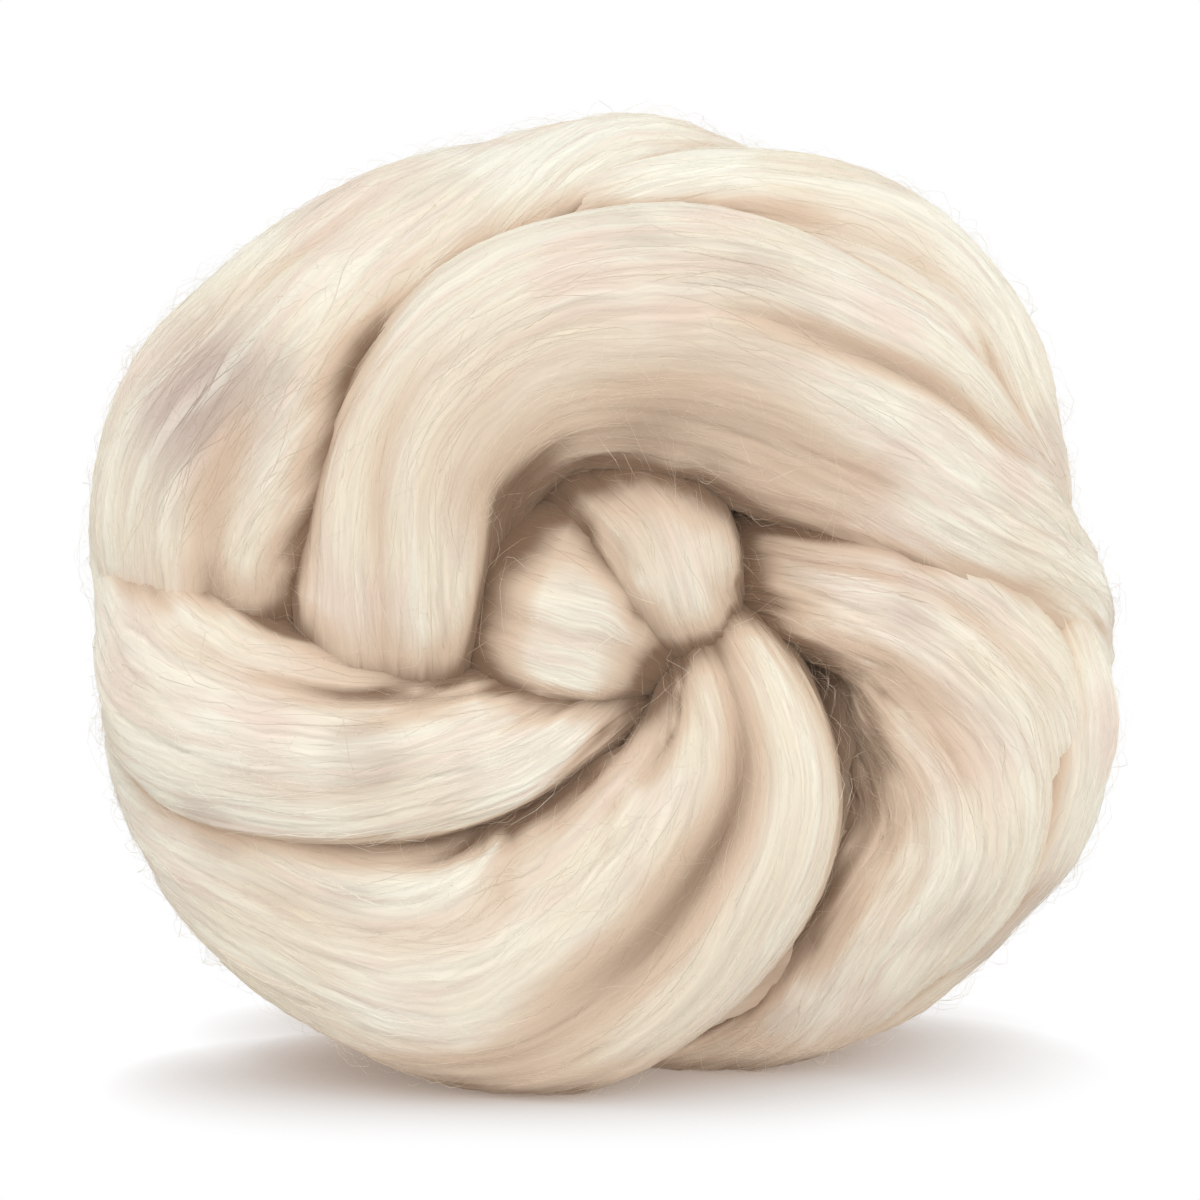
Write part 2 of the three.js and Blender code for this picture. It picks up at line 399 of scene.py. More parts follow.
def ball_lines(name, shares):
    """A ball's lines, swept from its foot to its top, as wide as the sine of the way up."""
    *place, reach, half_depth = BALLS[name]
    rise = shares * math.pi
    middle = np.tile(np.array(place, float), (len(shares), 1))
    middle[:, 2] -= reach * np.cos(rise)
    out = np.tile((0.0, -1.0, 0.0), (len(shares), 1))
    swell = np.maximum(np.sin(rise), LEAST_SWELL)
    return lines_of(middle, out, reach * swell, half_depth * swell, ELLIPSE)


def section_lines(name, shares):
    """The lines of any of the wound pieces."""
    if name in TURNS:
        return turn_lines(name, shares)
    return ball_lines(name, shares) if name in BALLS else heart_lines(shares)


def eased(count):
    """Shares from 0 to 1, closer together at both ends: half of 1 - cos."""
    return 0.5 - 0.5 * np.cos(np.linspace(0, math.pi, count))


WAVES = 48  # cosines in a combed relief

# A relief that runs with the fibres is uneven over so many millimetres along a turn, and has
# between so many ridges and so many round it.
LOCKS = (70, 4, 13)
FINE_LOCKS = (55, 12, 30)
LUMPS = (60, 1, 4)
GROOVES = (40, 28, 76)
SPLIT = 0.16  # a split lies where a lock's relief is within this of nothing
FINE_SPLIT = 0.2
LOCK_SHARE = 0.5  # a lock's height as a share of a split's depth
FINE_SHARE = 0.4  # and a fine split's depth as a share of it


def combed(rng, along, around, kind):
    """Uneven ridges that run along the fibres, about 1 high at their highest.

    It is a sum of cosines of 2 pi (along * f + around * n) + a random phase, where f is
    random with a spread of 1 / the kind's reach and n is a random whole number of ridges
    between its fewest and most, so that the sum closes round the turn.
    """
    reach, fewest, most = kind
    total = np.zeros(np.broadcast(along, around).shape)
    for _ in range(WAVES):
        f = rng.normal(0, 1 / reach)
        n = rng.integers(fewest, most + 1)
        total += np.cos(2 * math.pi * (along * f + around * n + rng.random()))
    return total / math.sqrt(WAVES)


def furrows(name, shares, degrees, girth):
    """How far the furrows sink, over a grid of shares along and degrees across.

    Each is its depth times a bell across its line, exp(-(distance / half width) squared),
    and it fades in and out along its length as a sine.
    """
    sunk = np.zeros((len(shares), len(degrees)))
    for start, end, from_angle, to_angle, half_width, depth in FURROWS.get(name, ()):
        run = np.clip((shares - start) / (end - start), 0, 1)
        line = from_angle + (to_angle - from_angle) * run
        apart = (degrees[None, :] - line[:, None]) / 360 * girth
        fade = np.sin(math.pi * run)
        sunk += depth * fade[:, None] * np.exp(-((apart / half_width) ** 2))
    return sunk


def wound_surface(name, sizes, rng):
    """A wound piece's skin as a grid: points, outward directions and lengths along and across.

    A smooth point is the middle + side * half width * fuller(sin a) + face * half
    thickness * fuller(cos a), for angles a from -180 to 180 degrees, and both ends close
    as a quarter circle. The relief then moves it along the skin's own normal. A split is
    its depth * exp(-(relief of the locks / the split's width) ** 2).
    """
    coarser = COARSER if name in UNDER + KNOB else 1
    points_around = sizes.points_around // coarser
    shares = eased(sizes.sections // coarser)
    lines = section_lines(name, shares)
    angles = np.linspace(-math.pi, math.pi, points_around, endpoint=False)
    near_end = np.minimum(1, np.minimum(shares, 1 - shares) / END_SHARE)
    rounding = np.sqrt(1 - (1 - near_end) ** 2)
    roundness = lines["roundness"]
    across = (lines["half_width"] * rounding)[:, None] * fuller(np.sin(angles), roundness)
    out = (lines["half_thickness"] * rounding)[:, None] * fuller(np.cos(angles), roundness)
    points = (
        lines["middle"][:, None]
        + lines["side"][:, None] * across[..., None]
        + lines["face"][:, None] * out[..., None]
    )
    steps = np.linalg.norm(np.diff(points[:, len(angles) // 2], axis=0), axis=1)
    along = np.concatenate([[0], np.cumsum(steps)])
    around = np.arange(points_around) / points_around
    girth = math.pi * float(np.mean(lines["half_width"] + lines["half_thickness"]))
    a, r = along[:, None], around[None, :]
    locks = combed(rng, a, r, LOCKS)
    fine_locks = combed(rng, a, r, FINE_LOCKS)
    relief = (
        sizes.lump_height / MM * combed(rng, a, r, LUMPS)
        + LOCK_SHARE * sizes.split_depth / MM * locks
        - sizes.split_depth / MM * np.exp(-((locks / SPLIT) ** 2))
        - FINE_SHARE * sizes.split_depth / MM * np.exp(-((fine_locks / FINE_SPLIT) ** 2))
        + sizes.groove_depth / MM * combed(rng, a, r, GROOVES)
    )
    sunk = furrows(name, shares, np.degrees(angles), girth)
    relief = (relief - sunk) * rounding[:, None]
    points = points + skin_normals(points) * relief[..., None]
    points[..., 2] = np.maximum(points[..., 2], 0)
    return {
        "name": name,
        "points": points,
        "normals": skin_normals(points),
        "along": along,
        "girth": girth,
        "sunk": sunk,
    }


def skin_normals(points):
    """Outward normals of a grid that closes across: the step across times the step along."""
    step_across = np.roll(points, -1, axis=1) - np.roll(points, 1, axis=1)
    step_along = np.gradient(points, axis=0)
    normals = unit(np.cross(step_across, step_along))
    normals[0] = normals[1].mean(axis=0)
    normals[-1] = normals[-2].mean(axis=0)
    return unit(normals)


GAP_SECTIONS = 72  # the sections of a wound piece that a gap is measured to
BESIDE = 4.0  # a point this far along from a section still counts as beside it
FAR_OFF = 30.0  # and one further past that than this is left out
NOWHERE_NEAR = 1e3  # the gap where nothing is near


def gap_to_wound(points, name):
    """Roughly how far points lie outside a wound piece, and less than 0 inside it.

    At each section, a point's place across the section, in half widths and half
    thicknesses, gives the superellipse's radius there; the gap is the point's distance
    from the middle times 1 - 1 / that radius, and the least gap over the sections that the
    point lies beside is kept.
    """
    lines = section_lines(name, np.linspace(0, 1, GAP_SECTIONS))
    power = lines["roundness"]
    least = np.full(len(points), NOWHERE_NEAR)
    for i in range(GAP_SECTIONS):
        away = points - lines["middle"][i]
        beyond = np.maximum(np.abs(away @ lines["along"][i]) - BESIDE, 0)
        near = beyond < FAR_OFF
        x = away[near] @ lines["side"][i]
        y = away[near] @ lines["face"][i]
        shares = np.abs(x / lines["half_width"][i]) ** power
        shares += np.abs(y / lines["half_thickness"][i]) ** power
        radius = np.maximum(shares, 1e-6) ** (1 / power)
        gap = np.hypot(x, y) * (1 - 1 / radius)
        beyond = beyond[near]
        gap = np.where(beyond > 0, np.hypot(np.maximum(gap, 0), beyond), gap)
        least[near] = np.minimum(least[near], gap)
    return least


# Grey tints round given places: a row is a place, how far the tint reaches and its most share.
GREY_PATCHES = (((-62, -28, 110), 23, 0.95), ((25, -26, 86), 12, 0.7))

# Painted shade where a turn rolls in under itself. A row is a line's two ends, how far its
# shade reaches and its share of the deepest hollow's painted shade, or less than 0 where a
# hollow lies open to the light, which paints it paler.
PAINTED_SHADE_LINES = (
    ((-22, -38, 97), (6, -40, 103), 8, 0.22),
    ((6, -40, 103), (34, -34, 95), 8, 0.22),
    ((-14, -42, 110), (22, -42, 114), 17, 0.20),
    ((-37, -33, 118), (-47, -33, 88), 5, 0.28),
    ((-47, -33, 88), (-49, -30, 74), 5, 0.28),
    ((-22, -30, 70), (-14, -30, 95), 7, 0.28),
    ((-14, -30, 95), (2, -30, 102), 5, 0.15),
    ((6, -28, 72), (18, -24, 82), 4.5, 0.25),
    ((48, -28, 64), (42, -22, 27), 10, 0.12),
    ((40, -24, 66), (38, -22, 40), 6, -0.22),
    ((-72, -20, 52), (-47, -38, 42), 6, 0.08),
    ((-30, -38, 45), (0, -30, 61), 6, -0.2),
)

SHADE_STEPS = (2.5, 6.0, 12.0, 20.0)  # how far out from the skin its shade is measured
SHADE_ROWS = 60  # sections of a piece at which its shade is worked out
SHADE_EVERY = 4  # and every so many points round each of them
FLOOR_PALENESS = 0.7  # in the painted hollow shade, the floor counts as this share of a step further off than it is


def shade_painted_along_lines(points):
    """Painted shade where wool is rolled in: each line's share * exp(-(distance / reach) ** 2)."""
    shade = np.zeros(points.shape[:-1])
    for start, end, reach, share in PAINTED_SHADE_LINES:
        run = np.subtract(end, start)
        along = np.clip((points - start) @ run / (run @ run), 0, 1)
        away = np.linalg.norm(points - start - along[..., None] * run, axis=-1)
        shade += share * np.exp(-((away / reach) ** 2))
    return shade


def find_gaps_and_painted_shade(surfaces):
    """Marks, on each grid, what the other pieces cover and how much shade is painted on it.

    The gap is the distance to the nearest other piece. The hollow shade is painted shade: the
    mean, over some steps straight out from the skin, of the share of the step that other
    pieces take up: (step - gap there) / step, between 0 and 1. The floor is pale, so it counts
    as further off. A furrow adds to the painted shade, and so do the lines of painted shade
    where wool is rolled in.
    """
    steps = np.array([0.0, *SHADE_STEPS])[:, None, None]
    for surface in surfaces.values():
        shape = surface["points"].shape[:2]
        rows = np.unique(np.linspace(0, shape[0] - 1, SHADE_ROWS).astype(int))
        columns = np.arange(0, shape[1], SHADE_EVERY)
        grid = np.ix_(rows, columns)
        out = surface["points"][grid] + steps[..., None] * surface["normals"][grid]
        gaps = np.full(out.shape[:3], NOWHERE_NEAR)
        for name in surfaces:
            if name != surface["name"]:
                found = gap_to_wound(out.reshape(-1, 3), name)
                gaps = np.minimum(gaps, found.reshape(gaps.shape))
        near_floor = np.minimum(gaps[1:], out[1:, ..., 2] + FLOOR_PALENESS * steps[1:])
        taken = (steps[1:] - near_floor) / steps[1:]
        hollow_shade = np.clip(taken, 0, 1).mean(axis=0)
        surface["gap"] = spread_grid(gaps[0], rows, columns, shape)
        hollow_shade = spread_grid(hollow_shade, rows, columns, shape)
        # painted shade: furrows and the lines of painted shade add to it
        hollow_shade += surface["sunk"] / FURROW_SHADE + shade_painted_along_lines(surface["points"])
        surface["hollow_shade"] = np.clip(hollow_shade, 0, 1)


def spread_grid(values, rows, columns, shape):
    """Values known on some rows and columns, filled in straight lines over the grid."""
    closed = np.concatenate([values, values[:, :1]], axis=1)
    at = np.append(columns, shape[1])
    wide = np.stack([np.interp(np.arange(shape[1]), at, row) for row in closed])
    return np.stack([np.interp(np.arange(shape[0]), rows, column) for column in wide.T]).T


# --------------------------------------------------------------------------------- meshes


def mesh_object(name, points, faces):
    """A smooth mesh object of points in millimetres and blocks of faces alike in corners."""
    mesh = bpy.data.meshes.new(name)
    corners = np.concatenate([block.ravel() for block in faces])
    sizes = np.concatenate([np.full(len(block), block.shape[1]) for block in faces])
    starts = np.concatenate([[0], np.cumsum(sizes)[:-1]])
    mesh.vertices.add(len(points))
    mesh.vertices.foreach_set("co", (points * MM).astype(np.float32).ravel())
    mesh.loops.add(len(corners))
    mesh.loops.foreach_set("vertex_index", corners.astype(np.int32))
    mesh.polygons.add(len(sizes))
    mesh.polygons.foreach_set("loop_start", starts.astype(np.int32))
    mesh.polygons.foreach_set("use_smooth", np.ones(len(sizes), bool))
    mesh.update(calc_edges=True)
    made = bpy.data.objects.new(name, mesh)
    bpy.context.scene.collection.objects.link(made)
    return made


def give_map(made, name, corners):
    """Adds a map with one place for each corner of the mesh's faces."""
    layer = made.data.uv_layers.new(name=name)
    layer.data.foreach_set("uv", corners.astype(np.float32).ravel())


def give_values(made, name, values):
    """Adds an attribute with one number for each point."""
    layer = made.data.attributes.new(name, "FLOAT", "POINT")
    layer.data.foreach_set("value", values.astype(np.float32).ravel())


def register_piece(made, material):
    """Gives a finished piece its material, in a slot, and its body, and hides the CAD node."""
    made.data.materials.append(material)
    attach(made, BODY)
    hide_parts(NODE)


# A quad's corners, in steps along a sweep and across it: across first, so that it looks out.
QUAD = ((0, 0), (0, 1), (1, 1), (1, 0))


def sweep_faces(rings, around):
    """A closed sweep's quads and the triangles at its start and end.

    Ring i starts at point i * around, and the two poles come last.
    """
    i, j = np.meshgrid(np.arange(rings - 1), np.arange(around), indexing="ij")
    quads = np.stack([(i + down) * around + (j + over) % around for down, over in QUAD], -1)
    ring = np.arange(around)
    after = (ring + 1) % around
    first, last = rings * around, rings * around + 1
    top = (rings - 1) * around
    start = np.stack([np.full(around, first), after, ring], -1)
    end = np.stack([top + ring, top + after, np.full(around, last)], -1)
    return quads.reshape(-1, 4), start, end


def sweep_corners(along, around):
    """Each face corner's place in a sweep's map: along in the first value, across from 0 to 1.

    The faces come in the blocks that sweep_faces gives, and the last across reaches 1.
    """
    i, j = np.meshgrid(np.arange(1, len(along) - 2), np.arange(around), indexing="ij")
    places = [np.stack([along[i + down], (j + over) / around], -1) for down, over in QUAD]
    quads = np.stack(places, 2).reshape(-1, 4, 2)
    ring = np.arange(around)

    def triangles(*corners):
        """The triangles at a pole, from each corner's length along and its step across."""
        return np.stack(
            [
                np.stack([np.full(around, length), (ring + step) / around], -1)
                for length, step in corners
            ],
            1,
        )

    start = triangles((along[0], 0.5), (along[1], 1), (along[1], 0))
    end = triangles((along[-2], 0), (along[-2], 1), (along[-1], 0.5))
    return quads, start, end


def wound_object(surface):
    """A wound piece's skin as a closed mesh, with its maps and the shade painted on it where the others
    hide the light.

    The map fibre_mm has millimetres along the strand and across it, for what runs with the
    fibres, and the map that colours are baked on has the same places between 0 and 1.
    """
    points = surface["points"]
    rings, around = points.shape[0] - 2, points.shape[1]
    ends = points[[0, -1]].mean(axis=1)
    body = np.concatenate([points[1:-1].reshape(-1, 3), ends])
    made = mesh_object("wool_" + surface["name"], body, sweep_faces(rings, around))
    blocks = sweep_corners(surface["along"], around)
    places = np.concatenate([block.reshape(-1, 2) for block in blocks])
    give_map(made, "fibre_mm", places * (1, surface["girth"]))
    filled = 1 - 2 * MAP_EDGE
    give_map(made, BAKE_MAP, MAP_EDGE + filled * places / (surface["along"][-1], 1))
    # painted shade where the other pieces hide the light
    hollow_shade = surface["hollow_shade"]
    rim = hollow_shade[[0, -1]].mean(axis=1)
    give_values(made, "hollow_shade", np.concatenate([hollow_shade[1:-1].ravel(), rim]))
    return made


# --------------------------------------------------------------------------------- fibres

LAID_STEPS = 7  # points along a laid fibre
STRAY_STEPS = 5  # and along a stray hair
FIBRE_SIDES = 3  # corners of its section
FLOOR_GAP = 0.3  # the least height of a fibre's middle line
LAID_SINK = 0.12  # how deep a laid fibre's ends go into the skin
STRAY_SINK = 0.1  # and a stray hair's foot
LIGHT_REACH = 2.5  # how far out a hair comes into the light
TRIES = 12  # places tried for each fibre, since other turns cover many of them
MORE_TRIES = 400
LONGEST_SHARE = 0.8  # a fibre's most length, as a share of its turn's
END_MARGIN = 0.01  # and how much of the turn it leaves free at each end
LAID_RISE = 0.14  # the least height of a laid fibre's arch
LAID_MORE = (2.0, 0.06)  # the shape and scale of how much more it has
ARCH_POWER = 0.7  # below 1, an arch is broad at its top
LAID_TIP = 0.35  # a laid fibre's thickness at its ends, as a share of its middle's
FREE_SHARE = 0.5  # the share of stray hairs that have a free end
FREE_POWER = 1.6  # how sharply a free hair turns away from the skin
REACH_POWER = 2.6  # how few of the stray hairs stand far off
STRAY_RISE = 0.3  # the least that a stray hair stands off
STRAY_LEAST = 1.6  # its middle length along the skin if it had no reach
STRAY_MORE = 2.2  # and how many times its reach is added to that
STRAY_TAPER = 0.6  # how much thinner its far end is

# How much the fibres of a kind differ in length, slope, sway and radius.
LAID_SPREAD = {"length": 0.4, "slope": 0.075, "sway": 0.5, "radius": 0.35}
STRAY_SPREAD = {"length": 0.35, "slope": 0.6, "sway": 0.6, "radius": 0.3}


def read_grid(surface, key, along, across):
    """A grid's values at lengths along and shares across, mixed from the four nearest."""
    grid = surface[key]
    rows = np.interp(along, surface["along"], np.arange(len(surface["along"])))
    columns = (across % 1) * grid.shape[1]
    i = np.minimum(rows.astype(int), grid.shape[0] - 2)
    j = columns.astype(int) % grid.shape[1]
    k = (j + 1) % grid.shape[1]
    down, over = rows - i, columns - columns.astype(int)
    if grid.ndim == 3:
        down, over = down[..., None], over[..., None]
    near = grid[i, j] * (1 - over) + grid[i, k] * over
    far = grid[i + 1, j] * (1 - over) + grid[i + 1, k] * over
    return near * (1 - down) + far * down


def open_share(surface):
    """The square millimetres of a wound piece's skin that no other piece covers."""
    return (surface["gap"] > 0).mean() * surface["along"][-1] * surface["girth"]


def open_places(surface, count, rng):
    """Random places on a piece's uncovered skin: lengths along and shares across."""
    along = rng.uniform(0, surface["along"][-1], TRIES * count + MORE_TRIES)
    across = rng.random(len(along))
    clear = read_grid(surface, "gap", along, across) > 0
    return along[clear][:count], across[clear][:count]


def fibres_on(surface, along, across, lengths, slopes, sways, lift):
    """Lines of fibres over a piece, with the outward directions and the painted hollow shade there.

    A fibre runs from half its length before its place to half after it, drifting across
    by its slope times that run plus its sway times sin(2 pi s + its phase), for shares s
    of its length, and it lies its lift above the skin.
    """
    s = np.linspace(0, 1, lift.shape[1])
    total = surface["along"][-1]
    lengths = np.minimum(lengths, LONGEST_SHARE * total)
    first = 0.5 * lengths + END_MARGIN * total
    last = (1 - END_MARGIN) * total - 0.5 * lengths
    middle = np.clip(along, first, last)
    run = (s - 0.5) * lengths[:, None]
    sway, phase = sways
    swing = sway[:, None] * np.sin(2 * math.pi * s + phase[:, None])
    drift = (slopes[:, None] * run + swing) / surface["girth"]
    places = middle[:, None] + run, across[:, None] + drift
    ups = unit(read_grid(surface, "normals", *places))
    lines = read_grid(surface, "points", *places) + ups * lift[..., None]
    lines[..., 2] = np.maximum(lines[..., 2], FLOOR_GAP)
    return lines, ups, read_grid(surface, "hollow_shade", *places)


def laid_fibres(surface, count, sizes, rng):
    """Fibres that lie along a piece and sink into it at both ends.

    The lift is its highest * sin(pi s) ** the arch's power, less the sink, and lengths and
    radii spread about their middle by a factor of e to the power of a bell.
    """
    along, across = open_places(surface, count, rng)
    count = len(along)
    spread = LAID_SPREAD
    s = np.linspace(0, 1, LAID_STEPS)
    arch = np.sin(math.pi * s) ** ARCH_POWER
    highest = rng.gamma(*LAID_MORE, count) + LAID_RISE
    lengths = sizes.laid_length / MM * np.exp(rng.normal(0, spread["length"], count))
    slopes = rng.normal(0, spread["slope"], count)
    sways = rng.normal(0, spread["sway"], count), rng.uniform(0, 2 * math.pi, count)
    lift = highest[:, None] * arch - LAID_SINK
    radii = sizes.laid_radius / MM * np.exp(rng.normal(0, spread["radius"], count))
    radii = radii[:, None] * (LAID_TIP + (1 - LAID_TIP) * arch)
    return *fibres_on(surface, along, across, lengths, slopes, sways, lift), radii


def stray_hairs(surface, count, sizes, rng):
    """Hairs that stand off a piece: some are loops, the others have one free end.

    A loop's lift is its reach * sin(pi s), and a free hair's is its reach * s ** its power,
    less the sink. The further a hair stands out, the less the painted shade of the hollow it
    grows from darkens it, as exp(-lift / light reach).
    """
    along, across = open_places(surface, count, rng)
    count = len(along)
    spread = STRAY_SPREAD
    s = np.linspace(0, 1, STRAY_STEPS)
    free = rng.random(count) < FREE_SHARE
    reach = sizes.stray_reach / MM * rng.random(count) ** REACH_POWER + STRAY_RISE
    shape = np.where(free[:, None], s**FREE_POWER, np.sin(math.pi * s))
    lengths = (STRAY_LEAST + STRAY_MORE * reach) * np.exp(rng.normal(0, spread["length"], count))
    lengths = lengths * rng.choice((-1, 1), count)
    slopes = rng.normal(0, spread["slope"], count)
    sways = rng.normal(0, spread["sway"], count), rng.uniform(0, 2 * math.pi, count)
    lift = reach[:, None] * shape - STRAY_SINK
    radii = sizes.stray_radius / MM * np.exp(rng.normal(0, spread["radius"], count))
    radii = radii[:, None] * (1 - STRAY_TAPER * s)
    lines, ups, hollow_shade = fibres_on(surface, along, across, lengths, slopes, sways, lift)
    # painted shade, fading the further out a hair stands
    return lines, ups, hollow_shade * np.exp(-np.maximum(lift, 0) / LIGHT_REACH), radii


def fibre_object(name, lines, ups, hollow_shade, radii, rng):
    """Fibres as one mesh of thin tubes that end in points, each with its own tint.

    A tube's ring is its middle + radius * (cos a * up + sin a * side), where side is along
    crossed with the outward direction and up is side crossed with along. Each fibre has a
    cell of its own in the map that colours are baked on.
    """
    count, steps = lines.shape[:2]
    along = unit(np.gradient(lines, axis=1))
    side = unit(np.cross(along, ups))
    up = np.cross(side, along)
    turned = np.arange(FIBRE_SIDES)[:, None] / FIBRE_SIDES * 2 * math.pi
    spoke = np.cos(turned) * up[:, 1:-1, None] + np.sin(turned) * side[:, 1:-1, None]
    rings = lines[:, 1:-1, None] + radii[:, 1:-1, None, None] * spoke
    points = np.concatenate([rings.reshape(count, -1, 3), lines[:, [0, -1]]], axis=1)
    offsets = np.arange(count)[:, None, None] * points.shape[1]
    faces = [
        (block + offsets).reshape(-1, block.shape[1])
        for block in sweep_faces(steps - 2, FIBRE_SIDES)
    ]
    made = mesh_object(name, points.reshape(-1, 3), faces)
    cells = math.ceil(math.sqrt(count))
    cell = np.stack([np.arange(count) % cells, np.arange(count) // cells], -1)
    filled = 1 - 2 * CELL_EDGE
    places = [
        ((cell[:, None, None] + CELL_EDGE + filled * block) / cells).reshape(-1, 2)
        for block in sweep_corners(np.linspace(0, 1, steps), FIBRE_SIDES)
    ]
    give_map(made, BAKE_MAP, np.concatenate(places))
    give_values(made, "tint", np.repeat(rng.random(count), points.shape[1]))
    # each point's painted hollow shade
    rings = np.repeat(hollow_shade[:, 1:-1], FIBRE_SIDES, axis=1)
    give_values(made, "hollow_shade", np.concatenate([rings, hollow_shade[:, [0, -1]]], axis=1).ravel())
    made.visible_shadow = False  # a real fibre is thinner and casts next to no shade
    made.visible_diffuse = False  # nor does it tint the wool beside it
    return made


# ------------------------------------------------------------------------------ materials


def add(tree, kind, inputs=None, **settings):
    """Adds a node. Each input is given by name or number, as a value or another's output."""
    made = tree.nodes.new(kind)
    for name, value in settings.items():
        setattr(made, name, value)
    for key, value in (inputs or {}).items():
        if isinstance(value, bpy.types.NodeSocket):
            tree.links.new(value, made.inputs[key])
        else:
            made.inputs[key].default_value = value
    return made


def opaque(colour):
    """A colour property as red, green, blue and full alpha."""
    return (*colour, 1.0)


def tinted(tree, colour, tint, value, low, high, most=1.0, change="SMOOTHSTEP"):
    """The colour with a tint mixed in: none where the value is low, the most where it is high.

    Map Range's inputs 1, 2 and 4 are that low, high and most, and Mix's 6 and 7 the colours.
    """
    share = add(
        tree,
        "ShaderNodeMapRange",
        {0: value, 1: low, 2: high, 4: most},
        interpolation_type=change,
    )
    mixed = add(
        tree,
        "ShaderNodeMix",
        {0: share.outputs[0], 6: colour, 7: opaque(tint)},
        data_type="RGBA",
    )
    return mixed.outputs[2]


def lock_colour(tree, colours):
    """The wool's colour from lock to lock: fawn, drifting to cream, rose and grey.

    Each tint comes in where a soft noise a few centimetres across is high.
    """
    place = add(tree, "ShaderNodeTexCoord").outputs["Object"]
    colour = opaque(colours.fawn)
    # A row is a tint, its patches' size, its low, high and most, and its place in the noise.
    drifts = (
        (colours.cream, 30 * MM, 0.40, 0.62, 0.85, 1.3),
        (colours.rose, 19 * MM, 0.50, 0.70, 0.65, 5.1),
        (colours.grey, 24 * MM, 0.56, 0.74, 0.45, 9.7),
    )
    for tint, size, low, high, most, part in drifts:
        noise = add(
            tree,
            "ShaderNodeTexNoise",
            {"Vector": place, "W": part, "Scale": 1 / size, "Detail": 1.5},
            noise_dimensions="4D",
        )
        colour = tinted(tree, colour, tint, noise.outputs[0], low, high, most)
    for middle, reach, most in GREY_PATCHES:
        away = add(
            tree,
            "ShaderNodeVectorMath",
            {0: place, 1: tuple(v * MM for v in middle)},
            operation="DISTANCE",
        ).outputs["Value"]
        colour = tinted(tree, colour, colours.grey, away, reach * MM, 0.0, most)
    return colour


# The painted hollow shade at which a shade tint starts and at which it is full, then its most share.
WARM_PAINTED_SHADE = (0.0, 0.38, 0.9)
DEEP_PAINTED_SHADE = (0.3, 0.95, 1.0)


def with_painted_shade(tree, colour, colours, most):
    """The colour with painted shade: warmer where two turns come together and darker deep between them.
    """
    near = add(tree, "ShaderNodeAttribute", attribute_name="hollow_shade").outputs["Fac"]
    for tint, (low, high, share) in ((colours.warm, WARM_PAINTED_SHADE), (colours.deep, DEEP_PAINTED_SHADE)):
        colour = tinted(tree, colour, tint, near, low, high, share * most)
    return colour


def wool_surface(tree, colour, normal=None):
    """The wool's shader: matt, with the faint halo that loose fibre ends give."""
    inputs = {
        "Base Color": colour,
        "Roughness": 0.86,
        "Diffuse Roughness": 0.6,
        "Specular IOR Level": 0.22,
        "Sheen Weight": 0.25,
        "Sheen Roughness": 0.55,
        "Sheen Tint": opaque(linear("#FFF4E2")),
    }
    if normal:
        inputs["Normal"] = normal
    shader = add(tree, "ShaderNodeBsdfPrincipled", inputs)
    add(tree, "ShaderNodeOutputMaterial", {"Surface": shader.outputs[0]})


def empty_material(name):
    """A material with no nodes yet."""
    material = bpy.data.materials.new(name)
    material.use_nodes = True
    material.node_tree.nodes.clear()
    return material


WANDER = 3.0  # how far streaks wander across the strand, to each side
WANDER_SIZE = 48 * MM  # over so far
CRIMP = 1.1  # how far the fibres' crimp moves them across
CRIMP_SIZE = 7 * MM
UNEVEN = (0.92, 1.06)  # the fine streaks' darkest and palest shade
FIBRE_UNEVEN = (0.94, 1.06)  # and the loose fibres'


